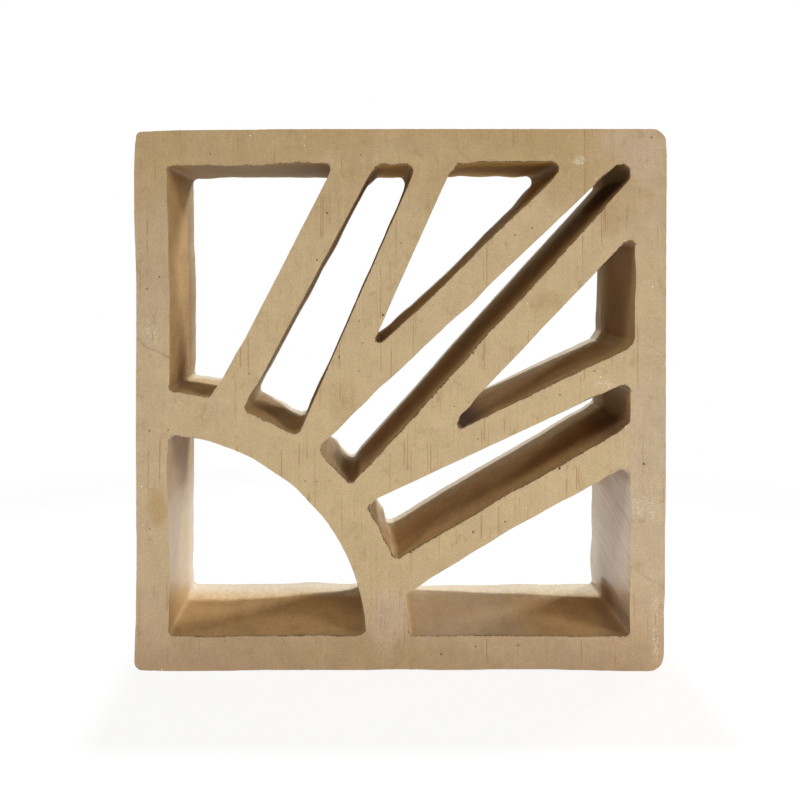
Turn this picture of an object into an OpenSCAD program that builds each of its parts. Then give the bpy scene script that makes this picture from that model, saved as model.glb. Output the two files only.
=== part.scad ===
// Breeze block of fired clay, one piece, with a quarter sun and three rays cut through it.
// Millimetres. X runs to the right, Z up, and the front face looks toward -Y.
// The origin is the middle of the bottom bed face.

/* [Block] */
// Width of the block, left head to right head
block_width = 190; // [175:1:230]
// Height of the block, bottom bed to top bed
block_height = 193.5; // [180:0.5:235]
// Depth of the block, front face to back face
block_depth = 65; // [40:1:120]

/* [Outer corners] */
// Radius of the upper left outer corner
upper_left_radius = 1.5; // [0.5:0.1:6]
// Radius of the upper right outer corner
upper_right_radius = 4; // [0.5:0.1:6]
// Radius of the lower right outer corner
lower_right_radius = 4.5; // [0.5:0.1:6]
// Radius of the lower left outer corner
lower_left_radius = 3; // [0.5:0.1:6]

/* [Rims] */
// Thickness of the left rim
left_rim = 12.4; // [9:0.1:16]
// Thickness of the right rim
right_rim = 12.9; // [9:0.1:16]
// Thickness of the top rim
top_rim = 12.8; // [9:0.1:16]
// Thickness of the bottom rim
bottom_rim = 12.7; // [9:0.1:16]
// Thickness of the top rim above the upper triangle
top_rim_at_triangle = 12.1; // [9:0.1:16]
// Thickness of the right rim beside the right triangle
right_rim_at_triangle = 11.3; // [9:0.1:16]

/* [Sun] */
// Distance of the sun's centre to the left of the left rim's inner face
sun_left = 4; // [0:0.1:8]
// Distance of the sun's centre below the bottom rim's inner face
sun_drop = 3.2; // [0:0.1:8]
// Radius of the quarter disc opening
sun_radius = 74.6; // [60:0.1:80]
// Thickness of the curved band round the quarter disc
band_thickness = 15.2; // [10:0.1:18]

/* [Upper ray] */
// Width of the slot at the band
upper_slot_root = 21.4; // [16:0.1:24]
// Width of the slot at the top rim, square to the ray
upper_slot_end = 13.6; // [9:0.1:18]
// Distance at the band from the ray's own line down to the slot's middle
upper_slot_drop = 1; // [0:0.1:3]
// Thickness of the left bar at the band
upper_left_bar_root = 11.2; // [8:0.1:13]
// Thickness of the left bar at the top rim
upper_left_bar_end = 12.9; // [8:0.1:16]
// Thickness of the right bar at the band
upper_right_bar_root = 10.6; // [8:0.1:13]
// Thickness of the right bar at the top rim
upper_right_bar_end = 11.7; // [8:0.1:16]
// Distance of the ray's outer end to the left of the middle of the top rim
upper_ray_shift = 1.1; // [0:0.1:5]

/* [Diagonal ray] */
// Width of the slot at the band
diagonal_slot_root = 17.8; // [14:0.1:20]
// Width of the slot at the corner of the rims
diagonal_slot_end = 6.8; // [5.5:0.1:9]
// Distance at the band from the ray's own line down to the slot's middle
diagonal_slot_drop = 0.3; // [0:0.1:3]
// Thickness of the upper bar at the band
diagonal_upper_bar_root = 11.9; // [9:0.1:14]
// Thickness of the upper bar at its outer end
diagonal_upper_bar_end = 11.7; // [9:0.1:16]
// Thickness of the lower bar at the band
diagonal_lower_bar_root = 10.4; // [9:0.1:14]
// Thickness of the lower bar at its outer end
diagonal_lower_bar_end = 14.8; // [9:0.1:17]

/* [Lower ray] */
// Width of the slot at the band
lower_slot_root = 22.6; // [17:0.1:25]
// Width of the slot at the right rim, square to the ray
lower_slot_end = 14; // [9:0.1:18]
// Distance at the band from the ray's own line down to the slot's middle
lower_slot_drop = 0.5; // [0:0.1:3]
// Thickness of the upper bar at the band
lower_upper_bar_root = 9.4; // [8:0.1:12]
// Thickness of the upper bar at the right rim
lower_upper_bar_end = 10.9; // [8:0.1:16]
// Thickness of the lower bar at the band
lower_lower_bar_root = 11.1; // [8:0.1:13]
// Thickness of the lower bar at the right rim
lower_lower_bar_end = 11.6; // [8:0.1:16]
// Distance of the ray's outer end below the middle of the right rim
lower_ray_shift = 0.7; // [0:0.1:5]

/* [Corners of the openings] */
// Radius of the plain corners
opening_radius = 2; // [0.5:0.1:3]
// Radius of the blunter corners at the outer ends of the slots and of the lower right opening
slot_end_radius = 3; // [0.5:0.1:4]
// Radius at the tip of the upper triangle, toward the sun
upper_triangle_tip_radius = 1.4; // [0.5:0.1:3]
// Radius at the sharp outer corner of the upper triangle
upper_triangle_end_radius = 2.7; // [0.5:0.1:4]
// Radius at the tip of the right triangle, toward the sun
right_triangle_tip_radius = 2.1; // [0.5:0.1:3]
// Radius at the sharp outer corner of the right triangle
right_triangle_end_radius = 2.2; // [0.5:0.1:4]

/* [Hidden] */
$fn = 96;
wide_arc_steps = 360;
clay = [0.76, 0.65, 0.50];

// All plan points are measured from the sun's centre.
sun_x = left_rim - block_width / 2 - sun_left;
sun_z = bottom_rim - sun_drop;
band_radius = sun_radius + band_thickness;
right_face = sun_left + block_width - left_rim - right_rim;
top_face = sun_drop + block_height - bottom_rim - top_rim;
triangle_top = sun_drop + block_height - bottom_rim - top_rim_at_triangle;
triangle_right = sun_left + block_width - left_rim - right_rim_at_triangle;

// Outer ends of the three rays.
upper_end = [(sun_left + right_face) / 2 - upper_ray_shift, top_face];
diagonal_end = [right_face, top_face];
lower_end = [right_face, (sun_drop + top_face) / 2 - lower_ray_shift];

// Share of a short side that one rounded corner may take up.
corner_share = 0.48;
// How far the cutters run past the front and back faces.
overrun = 1;
// How far a corner's arc reaches past the sides that it joins, so that it crosses them.
bite = 0.002;

function unit(v) = v / norm(v);
function left_of(v) = [-v[1], v[0]];

// Point beside a ray: so far along it from the sun's centre, so far to its left.
function beside(end, along, aside) = unit(end) * along + left_of(unit(end)) * aside;

// Straight side of a ray, from the band to the outer end.
function side(end, root, tip) = [beside(end, band_radius, root), beside(end, norm(end), tip)];

// Point where two straight lines meet.
function meet(p, q) =
    p[0] + (p[1] - p[0]) * cross(q[0] - p[0], q[1] - q[0]) / cross(p[1] - p[0], q[1] - q[0]);

// Half the angle at corner b between a and c.
function half_angle(a, b, c) = acos(unit(a - b) * unit(c - b)) / 2;

// Radius that fits at corner b, no larger than the one asked for.
function fitting(a, b, c, r) =
    min(r, corner_share * min(norm(a - b), norm(c - b)) * tan(half_angle(a, b, c)));

// Centre of the arc at corner b, and the point where it leaves the side toward a.
function arc_centre(a, b, c, r) = b + unit(unit(a - b) + unit(c - b)) * r / sin(half_angle(a, b, c));
function arc_foot(a, b, c, r) = b + unit(a - b) * r / tan(half_angle(a, b, c));

// Centre of the arc between the band and a side that runs outward from a to b.
// turn is 1 where the opening lies to the left of the side and -1 where it lies to the right.
function foot_centre(a, b, turn, r) =
    let (d = unit(b - a), p = a + left_of(d) * turn * r)
    p + d * (sqrt(pow(band_radius + r, 2) - p * p + pow(p * d, 2)) - p * d);
function foot_point(a, b, turn, r) =
    foot_centre(a, b, turn, r) - left_of(unit(b - a)) * turn * r;

// Straight sides of the bars and slots.
upper_slot_left = side(upper_end, upper_slot_root / 2 - upper_slot_drop, upper_slot_end / 2);
upper_slot_right = side(upper_end, -upper_slot_root / 2 - upper_slot_drop, -upper_slot_end / 2);
upper_bar_left = side(upper_end, upper_slot_root / 2 - upper_slot_drop + upper_left_bar_root,
    upper_slot_end / 2 + upper_left_bar_end);
upper_bar_right = side(upper_end, -upper_slot_root / 2 - upper_slot_drop - upper_right_bar_root,
    -upper_slot_end / 2 - upper_right_bar_end);
diagonal_slot_upper = side(diagonal_end, diagonal_slot_root / 2 - diagonal_slot_drop,
    diagonal_slot_end / 2);
diagonal_slot_lower = side(diagonal_end, -diagonal_slot_root / 2 - diagonal_slot_drop,
    -diagonal_slot_end / 2);
diagonal_bar_upper = side(diagonal_end,
    diagonal_slot_root / 2 - diagonal_slot_drop + diagonal_upper_bar_root,
    diagonal_slot_end / 2 + diagonal_upper_bar_end);
diagonal_bar_lower = side(diagonal_end,
    -diagonal_slot_root / 2 - diagonal_slot_drop - diagonal_lower_bar_root,
    -diagonal_slot_end / 2 - diagonal_lower_bar_end);
lower_slot_upper = side(lower_end, lower_slot_root / 2 - lower_slot_drop, lower_slot_end / 2);
lower_slot_lower = side(lower_end, -lower_slot_root / 2 - lower_slot_drop, -lower_slot_end / 2);
lower_bar_upper = side(lower_end, lower_slot_root / 2 - lower_slot_drop + lower_upper_bar_root,
    lower_slot_end / 2 + lower_upper_bar_end);
lower_bar_lower = side(lower_end, -lower_slot_root / 2 - lower_slot_drop - lower_lower_bar_root,
    -lower_slot_end / 2 - lower_lower_bar_end);

// Straight inner faces of the rims.
top_line = [[sun_left, top_face], [right_face, top_face]];
right_line = [[right_face, sun_drop], [right_face, top_face]];
triangle_top_line = [[sun_left, triangle_top], [right_face, triangle_top]];
triangle_right_line = [[triangle_right, sun_drop], [triangle_right, top_face]];

// Closed outline with every corner rounded.
module rounded(points, radii) {
    n = len(points);
    before = [for (i = [0:n - 1]) points[(i + n - 1) % n]];
    after = [for (i = [0:n - 1]) points[(i + 1) % n]];
    r = [for (i = [0:n - 1]) fitting(before[i], points[i], after[i], radii[i])];
    polygon([for (i = [0:n - 1], j = [0, 1]) j == 0
        ? arc_foot(before[i], points[i], after[i], r[i])
        : arc_foot(after[i], points[i], before[i], r[i])]);
    for (i = [0:n - 1])
        translate(arc_centre(before[i], points[i], after[i], r[i])) circle(r[i] + bite);
}

// Opening that stands on the band. The first and last points lie on its two long sides,
// the ones between are its outer corners, listed with the sun's centre on their right.
module on_band(points, radii) {
    n = len(points);
    r = [for (i = [1:n - 2]) fitting(points[i - 1], points[i], points[i + 1], radii[i - 1])];
    first_centre = foot_centre(points[0], points[1], -1, opening_radius);
    last_centre = foot_centre(points[n - 1], points[n - 2], 1, opening_radius);
    difference() {
        polygon(concat(
            [foot_point(points[0], points[1], -1, opening_radius)],
            [for (i = [1:n - 2], j = [0, 1]) j == 0
                ? arc_foot(points[i - 1], points[i], points[i + 1], r[i - 1])
                : arc_foot(points[i + 1], points[i], points[i - 1], r[i - 1])],
            [foot_point(points[n - 1], points[n - 2], 1, opening_radius)],
            [last_centre, [0, 0], first_centre]));
        circle(band_radius, $fn = wide_arc_steps);
    }
    for (i = [1:n - 2])
        translate(arc_centre(points[i - 1], points[i], points[i + 1], r[i - 1]))
            circle(r[i - 1] + bite);
    for (centre = [first_centre, last_centre]) translate(centre) circle(opening_radius + bite);
}

// Quarter disc in the corner of the left and bottom rims.
module sun() {
    r = opening_radius;
    low_left = [sun_left + r, sun_drop + r];
    low_right = [sqrt(pow(sun_radius - r, 2) - pow(sun_drop + r, 2)), sun_drop + r];
    high_left = [sun_left + r, sqrt(pow(sun_radius - r, 2) - pow(sun_left + r, 2))];
    outside = 2 * sun_radius;
    intersection() {
        polygon([low_left - [0, r], low_right - [0, r], low_right, unit(low_right) * outside,
            unit(high_left) * outside, high_left, high_left - [r, 0], low_left - [r, 0]]);
        circle(sun_radius, $fn = wide_arc_steps);
    }
    for (centre = [low_left, low_right, high_left]) translate(centre) circle(r + bite);
}

module openings() {
    sun();
    // Large opening left of the upper ray
    on_band([[sun_left, band_radius], [sun_left, top_face], meet(upper_bar_left, top_line),
        upper_bar_left[0]], [opening_radius, opening_radius]);
    // Slot of the upper ray
    on_band([upper_slot_left[0], meet(upper_slot_left, top_line), meet(upper_slot_right, top_line),
        upper_slot_right[0]], [slot_end_radius, opening_radius]);
    // Triangle between the upper and diagonal rays
    rounded([meet(upper_bar_right, triangle_top_line), meet(diagonal_bar_upper, triangle_top_line),
        meet(upper_bar_right, diagonal_bar_upper)],
        [opening_radius, upper_triangle_end_radius, upper_triangle_tip_radius]);
    // Slot of the diagonal ray
    on_band([diagonal_slot_upper[0], meet(diagonal_slot_upper, top_line), diagonal_end,
        meet(diagonal_slot_lower, right_line), diagonal_slot_lower[0]],
        [opening_radius, slot_end_radius, opening_radius]);
    // Triangle between the diagonal and lower rays
    rounded([meet(diagonal_bar_lower, triangle_right_line), meet(lower_bar_upper, triangle_right_line),
        meet(diagonal_bar_lower, lower_bar_upper)],
        [right_triangle_end_radius, opening_radius, right_triangle_tip_radius]);
    // Slot of the lower ray
    on_band([lower_slot_upper[0], meet(lower_slot_upper, right_line), meet(lower_slot_lower, right_line),
        lower_slot_lower[0]], [slot_end_radius, opening_radius]);
    // Large opening below the lower ray
    on_band([lower_bar_lower[0], meet(lower_bar_lower, right_line), [right_face, sun_drop],
        [band_radius, sun_drop]], [slot_end_radius, opening_radius]);
}

// Corner of the outline that is cut away, for the corner at the origin.
module corner_waste(r) {
    difference() {
        translate([-overrun, -overrun]) square(r + overrun);
        translate([r, r]) circle(r + bite);
    }
}

module outline() {
    x = block_width / 2;
    difference() {
        translate([-x, 0]) square([block_width, block_height]);
        translate([-x, 0]) corner_waste(lower_left_radius);
        translate([x, 0]) rotate(90) corner_waste(lower_right_radius);
        translate([x, block_height]) rotate(180) corner_waste(upper_right_radius);
        translate([-x, block_height]) rotate(270) corner_waste(upper_left_radius);
    }
}

module block() {
    color(clay)
        difference() {
            rotate([90, 0, 0])
                linear_extrude(height = block_depth, center = true) outline();
            translate([sun_x, 0, sun_z]) rotate([90, 0, 0])
                linear_extrude(height = block_depth + 2 * overrun, center = true) openings();
        }
}

block();
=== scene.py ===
import math
import bmesh
import bpy
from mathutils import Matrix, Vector, kdtree, noise


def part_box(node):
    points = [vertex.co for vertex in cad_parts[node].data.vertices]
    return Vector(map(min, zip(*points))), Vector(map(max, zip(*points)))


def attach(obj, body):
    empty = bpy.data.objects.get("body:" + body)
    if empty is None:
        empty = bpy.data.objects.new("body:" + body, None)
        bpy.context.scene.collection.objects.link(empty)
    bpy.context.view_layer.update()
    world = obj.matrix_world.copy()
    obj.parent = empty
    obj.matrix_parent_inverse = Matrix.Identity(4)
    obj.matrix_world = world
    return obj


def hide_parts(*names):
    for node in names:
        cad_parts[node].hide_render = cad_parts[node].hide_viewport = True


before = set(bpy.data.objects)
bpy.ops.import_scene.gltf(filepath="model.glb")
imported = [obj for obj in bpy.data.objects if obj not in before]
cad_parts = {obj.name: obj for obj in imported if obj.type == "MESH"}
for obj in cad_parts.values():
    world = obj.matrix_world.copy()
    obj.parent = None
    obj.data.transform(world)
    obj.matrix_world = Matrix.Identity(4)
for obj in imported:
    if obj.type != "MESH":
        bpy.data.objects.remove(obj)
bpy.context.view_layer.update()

mm = 0.001
blockLow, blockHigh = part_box("block")
frontY = blockLow.y
backY = blockHigh.y
print("frame loaded, block", [round(v / mm, 1) for v in blockHigh - blockLow], "mm")

scene = bpy.context.scene
scene.view_settings.view_transform = "Standard"

# How the photograph maps to the front face: size of one pixel, and the pixels of the
# block's middle line and of its bottom edge.
photo = {
    "mmPerPixel": 0.35634,
    "middleX": 400.2,
    "bottomY": 671.5,
    "width": 800,
}

# Where the photographer's eye was, in millimetres from the middle of the bottom front edge
eye = {
    "right": -16.1,
    "height": 147.0,
    "distance": 406.0,
    "sensor": 36.0,
}


def onFace(px, py):
    # place on the front face, in millimetres, that a pixel of the photograph shows
    return (px - photo["middleX"]) * photo["mmPerPixel"], (photo["bottomY"] - py) * photo["mmPerPixel"]


def onlyObject(obj):
    if bpy.context.object and bpy.context.object.mode != "OBJECT":
        bpy.ops.object.mode_set(mode="OBJECT")
    bpy.ops.object.select_all(action="DESELECT")
    obj.select_set(True)
    bpy.context.view_layer.objects.active = obj


def editMesh(obj):
    if obj.mode != "EDIT":
        onlyObject(obj)
        bpy.ops.object.mode_set(mode="EDIT")
    return bmesh.from_edit_mesh(obj.data)


def pickFaces(obj, test):
    # selects the faces that pass the test, which is given each face and its middle in mm
    editMesh(obj)
    bpy.ops.mesh.select_mode(type="FACE")
    bpy.ops.mesh.select_all(action="DESELECT")
    net = bmesh.from_edit_mesh(obj.data)
    for face in net.faces:
        if test(face, face.calc_center_median() / mm):
            face.select_set(True)
    bmesh.update_edit_mesh(obj.data)


def pickSlot(obj, slot):
    # selects the faces of one material slot
    bpy.ops.mesh.select_all(action="DESELECT")
    obj.active_material_index = slot
    bpy.ops.object.material_slot_select()


def smoothStep(low, high, value):
    t = min(max((value - low) / (high - low), 0.0), 1.0)
    return t * t * (3.0 - 2.0 * t)


def segmentDistance(x, z, a, b):
    # distance from a point of the face to the line a to b
    dx, dz = b[0] - a[0], b[1] - a[1]
    t = ((x - a[0]) * dx + (z - a[1]) * dz) / (dx * dx + dz * dz)
    t = min(max(t, 0.0), 1.0)
    return math.hypot(x - a[0] - t * dx, z - a[1] - t * dz)


# Fine net that the block is cut into, in millimetres
slab = {
    "weld": 0.01,
    "flat": 0.9,  # a face whose normal has this much of the front or rear in it is a cut face
    "wall": 0.5,  # and one with less than this of them in it is a wall
    "flatAngle": 0.001,
    "grid": 1.7,
    "arrisBands": [0.3, 0.7],
    "arcWeld": 0.25,
    "netWeld": 0.13,
    "rings": [0.3, 1.2, 3.0, 7.0, 14.0, 23.0, 32.5, 42.0, 51.0, 58.0, 62.0, 63.8, 64.7],
    "smoothAngle": 38,
}

# Arrises that the cutting wire tore, as stretches between two pixels of the photograph.
# width is how far the tear reaches, in millimetres; weight is how rough it is.
tears = {
    "diagonalSlotLower": {"line": [(347, 482), (631, 186)], "width": 0.8, "weight": 1.0},
    "rightTriangleLower": {"line": [(461, 426), (634, 346)], "width": 0.7, "weight": 0.8},
    "lowerSlotLower": {"line": [(393, 558), (630, 429)], "width": 0.8, "weight": 1.0},
    "upperTriangleLower": {"line": [(380, 342), (556, 174)], "width": 0.6, "weight": 0.7},
    "diagonalSlotFoot": {"line": [(320, 453), (347, 482)], "width": 0.8, "weight": 0.8},
    "lowerSlotFoot": {"line": [(368, 508), (393, 558)], "width": 0.8, "weight": 0.8},
    "lowerRightFloor": {"line": [(408, 635), (628, 636)], "width": 0.7, "weight": 0.55},
    "sunFloor": {"line": [(167, 635), (364, 634)], "width": 0.7, "weight": 0.6},
    "sunTop": {"line": [(167, 440), (196, 436)], "width": 0.7, "weight": 0.5},
    "upperLeftTop": {"line": [(167, 166), (333, 164)], "width": 0.8, "weight": 0.55},
    "upperLeftFoot": {"line": [(170, 390), (213, 397)], "width": 0.7, "weight": 0.6},
    "upperSlotTop": {"line": [(374, 168), (413, 166)], "width": 0.9, "weight": 0.8},
    "upperSlotFoot": {"line": [(246, 409), (301, 433)], "width": 0.7, "weight": 0.6},
    "upperSlotRight": {"line": [(301, 433), (413, 172)], "width": 0.5, "weight": 0.45},
    "upperTriangleTop": {"line": [(448, 166), (557, 162)], "width": 0.8, "weight": 0.7},
    "diagonalSlotEnd": {"line": [(596, 184), (629, 166)], "width": 0.9, "weight": 0.8},
    "rightTriangleTop": {"line": [(598, 268), (634, 241)], "width": 0.8, "weight": 0.7},
    "lowerSlotTop": {"line": [(588, 404), (629, 388)], "width": 0.9, "weight": 0.9},
    "lowerRightTop": {"line": [(590, 484), (629, 470)], "width": 0.6, "weight": 0.45},
}
tearing = {
    "fineFrom": 0.55,  # tears of at least this weight get the finer net
    "fineGrid": 0.65,
    "fineReach": 1.5,
    "rings": [0.6],
    "ringDepth": 4.0,
    "findArris": 1.6,  # how near a stretch an arris counts as part of it
    "plainWidth": 0.45,  # nicks of the arrises that are not torn
    "plainWeight": 0.22,
    "depth": 0.3,
    "deepest": 3.0,  # nothing further than this from a cut face is torn
    "wallReach": 2.2,  # a tear reaches further down the wall than across the face
    "faceReach": 0.8,
    "full": 0.15,  # share of its width over which a tear is at its worst
    "grain": 0.9,
    "raggedSize": 0.9,  # grains of noise to the millimetre
    "raggedAlongDepth": 0.2,
    "widthSize": 0.35,
    "widthSwing": 0.7,
    "strengthMean": 0.75,
    "strengthSwing": 0.5,
    "nickFrom": -0.1,  # noise between these two makes the nicks of plain arrises
    "nickTo": 0.5,
    "nickGain": 1.5,
}

# Long marks that grit under the wire dragged down the face: pixel column, top and bottom row
dragMarks = [
    {"x": 486.8, "top": 248, "bottom": 285}, {"x": 483.2, "top": 258, "bottom": 281},
    {"x": 380.4, "top": 266, "bottom": 320}, {"x": 389.8, "top": 261, "bottom": 312},
    {"x": 391.0, "top": 349, "bottom": 381}, {"x": 339.2, "top": 342, "bottom": 372},
    {"x": 582.7, "top": 219, "bottom": 286}, {"x": 601.6, "top": 208, "bottom": 246},
    {"x": 626.8, "top": 205, "bottom": 233}, {"x": 484.6, "top": 414, "bottom": 453},
    {"x": 580.4, "top": 361, "bottom": 401}, {"x": 237.5, "top": 132, "bottom": 155},
    {"x": 341.4, "top": 150, "bottom": 178}, {"x": 329.6, "top": 189, "bottom": 226},
    {"x": 338.6, "top": 202, "bottom": 224}, {"x": 380.8, "top": 342, "bottom": 371},
    {"x": 342.8, "top": 397, "bottom": 411}, {"x": 235.0, "top": 363, "bottom": 420},
    {"x": 299.0, "top": 441, "bottom": 489}, {"x": 235.8, "top": 638, "bottom": 666},
    {"x": 182.6, "top": 643, "bottom": 663}, {"x": 341.2, "top": 497, "bottom": 541},
    {"x": 388.8, "top": 568, "bottom": 602}, {"x": 481.2, "top": 499, "bottom": 540},
    {"x": 498.3, "top": 506, "bottom": 534}, {"x": 578.3, "top": 459, "bottom": 486},
    {"x": 486.6, "top": 638, "bottom": 667}, {"x": 581.2, "top": 638, "bottom": 666},
    {"x": 584.6, "top": 131, "bottom": 200}, {"x": 588.0, "top": 131, "bottom": 196},
    {"x": 602.4, "top": 131, "bottom": 172}, {"x": 613.6, "top": 155, "bottom": 164},
    {"x": 576.6, "top": 461, "bottom": 489}, {"x": 578.8, "top": 639, "bottom": 668},
    {"x": 615.4, "top": 641, "bottom": 666}, {"x": 487.6, "top": 242, "bottom": 283},
    {"x": 513.4, "top": 131, "bottom": 147}, {"x": 514.2, "top": 428, "bottom": 447},
    {"x": 504.2, "top": 418, "bottom": 434}, {"x": 511.6, "top": 508, "bottom": 537},
    {"x": 527.8, "top": 505, "bottom": 531}, {"x": 340.0, "top": 383, "bottom": 402},
]
# Hairline cracks across the rims, as pixels along each
cracks = {
    "leftRim": [(136, 340), (141, 346), (150, 349), (160, 353), (169, 358)],
    "rightRim": [(629, 566), (638, 572), (648, 578), (656, 583), (664, 587)],
}
scoring = {
    "markHalf": 0.26,
    "markDepth": 0.11,
    "markTone": 0.3667,
    "crackHalf": 0.18,
    "crackDepth": 0.3,
    "crackTone": 0.7,
    "reach": 1.2,
    "onLine": 0.02,
}

# Pits in the face: pixel, and radius in millimetres
pits = [
    {"at": (159, 277), "radius": 0.44}, {"at": (145, 289), "radius": 0.4},
    {"at": (148, 431), "radius": 0.44}, {"at": (168, 430), "radius": 0.4},
    {"at": (147, 454), "radius": 0.32}, {"at": (148, 529), "radius": 0.32},
    {"at": (652, 137), "radius": 0.48}, {"at": (317, 260), "radius": 0.4},
    {"at": (327, 213), "radius": 0.4}, {"at": (383, 315), "radius": 0.44},
    {"at": (339, 357), "radius": 0.36}, {"at": (362, 343), "radius": 0.32},
    {"at": (359, 371), "radius": 0.36}, {"at": (249, 374), "radius": 0.36},
    {"at": (210, 154), "radius": 0.32}, {"at": (154, 162), "radius": 0.36},
    {"at": (473, 353), "radius": 0.44}, {"at": (532, 228), "radius": 0.4},
    {"at": (515, 235), "radius": 0.32}, {"at": (473, 532), "radius": 0.52},
    {"at": (505, 522), "radius": 0.4}, {"at": (478, 439), "radius": 0.32},
    {"at": (644, 464), "radius": 0.56}, {"at": (441, 655), "radius": 0.44},
    {"at": (475, 647), "radius": 0.36}, {"at": (518, 646), "radius": 0.4},
    {"at": (594, 371), "radius": 0.4}, {"at": (560, 395), "radius": 0.32},
    {"at": (401, 243), "radius": 0.32}, {"at": (305, 481), "radius": 0.32},
]
pitShape = {
    "sides": 8,
    "depth": 0.4,
    "around": 1.2,  # how much of the face round a pit its cuts may run through
    "least": 0.85,
    "uneven": 0.25,
    "unevenTurn": 2.4,
    "floor": 0.75,
    "inset": 0.3,
    "bowl": 0.8,  # how much shallower a pit is at its edge
    "dark": 0.5,  # share of its radius over which it is darkest
}


def tearAt(x, z, reach):
    # strongest tear within reach of a place on the face: its weight and width
    best = (0.0, 0.0)
    for tear in tears.values():
        a, b = tear["ends"]
        if segmentDistance(x, z, a, b) < reach and tear["weight"] > best[0]:
            best = (tear["weight"], tear["width"])
    return best


for tear in tears.values():
    tear["ends"] = [onFace(*pixel) for pixel in tear["line"]]


def frontSheet():
    # front face of the CAD solid alone, as one flat sheet
    mesh = bpy.data.objects["block"].data.copy()
    mesh.name = "firedClay"
    sheet = bpy.data.objects.new("firedClay", mesh)
    bpy.context.collection.objects.link(sheet)
    editMesh(sheet)
    bpy.ops.mesh.select_all(action="SELECT")
    bpy.ops.mesh.remove_doubles(threshold=slab["weld"] * mm)
    pickFaces(sheet, lambda face, middle: face.normal.y > -slab["flat"])
    bpy.ops.mesh.delete(type="FACE")
    bpy.ops.mesh.select_all(action="SELECT")
    bpy.ops.mesh.dissolve_limited(angle_limit=slab["flatAngle"])
    bpy.ops.mesh.select_all(action="SELECT")
    bpy.ops.mesh.remove_doubles(threshold=slab["arcWeld"] * mm)
    bpy.ops.mesh.select_all(action="SELECT")
    for band in slab["arrisBands"]:
        bpy.ops.mesh.inset(thickness=band * mm, use_boundary=True, use_even_offset=True)
    return sheet


def cutGrid(obj, step, pick):
    # upright and level cuts at even steps, through what pick selects
    for axis, low, high in ((0, blockLow.x, blockHigh.x), (2, blockLow.z, blockHigh.z)):
        count = round((high - low) / (step * mm))
        plane = [0.0, 0.0, 0.0]
        plane[axis] = 1.0
        for i in range(count):
            point = [0.0, 0.0, 0.0]
            point[axis] = low + (high - low) * (i + 0.5) / count
            pick()
            bpy.ops.mesh.bisect(plane_co=point, plane_no=plane)


def score(obj, a, b, half):
    # three cuts side by side along the line a to b, so that the middle one can be pushed in
    along = Vector((b[0] - a[0], 0, b[1] - a[1])).normalized()
    across = Vector((-along.z, 0, along.x))
    for offset in (-half, 0, half):
        pickFaces(obj, lambda face, middle: segmentDistance(middle.x, middle.z, a, b) < scoring["reach"])
        point = Vector((a[0], 0, a[1])) + across * offset
        bpy.ops.mesh.bisect(plane_co=point * mm, plane_no=across)


def cutPit(obj, x, z, radius):
    # an eight-sided patch of the face, with a smaller one inside it to push in
    def pickWithin(reach):
        pickFaces(obj, lambda face, middle: math.hypot(middle.x - x, middle.z - z) < reach)

    for side in range(pitShape["sides"]):
        turn = 2 * math.pi * side / pitShape["sides"]
        out = Vector((math.cos(turn), 0, math.sin(turn)))
        pickWithin(radius + pitShape["around"])
        edge = radius * (pitShape["least"] + pitShape["uneven"] * math.sin(side * pitShape["unevenTurn"] + x))
        bpy.ops.mesh.bisect(plane_co=(Vector((x, 0, z)) + out * edge) * mm, plane_no=out)
    pickWithin(radius * pitShape["floor"])
    bpy.ops.mesh.inset(thickness=radius * pitShape["inset"] * mm)


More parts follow.
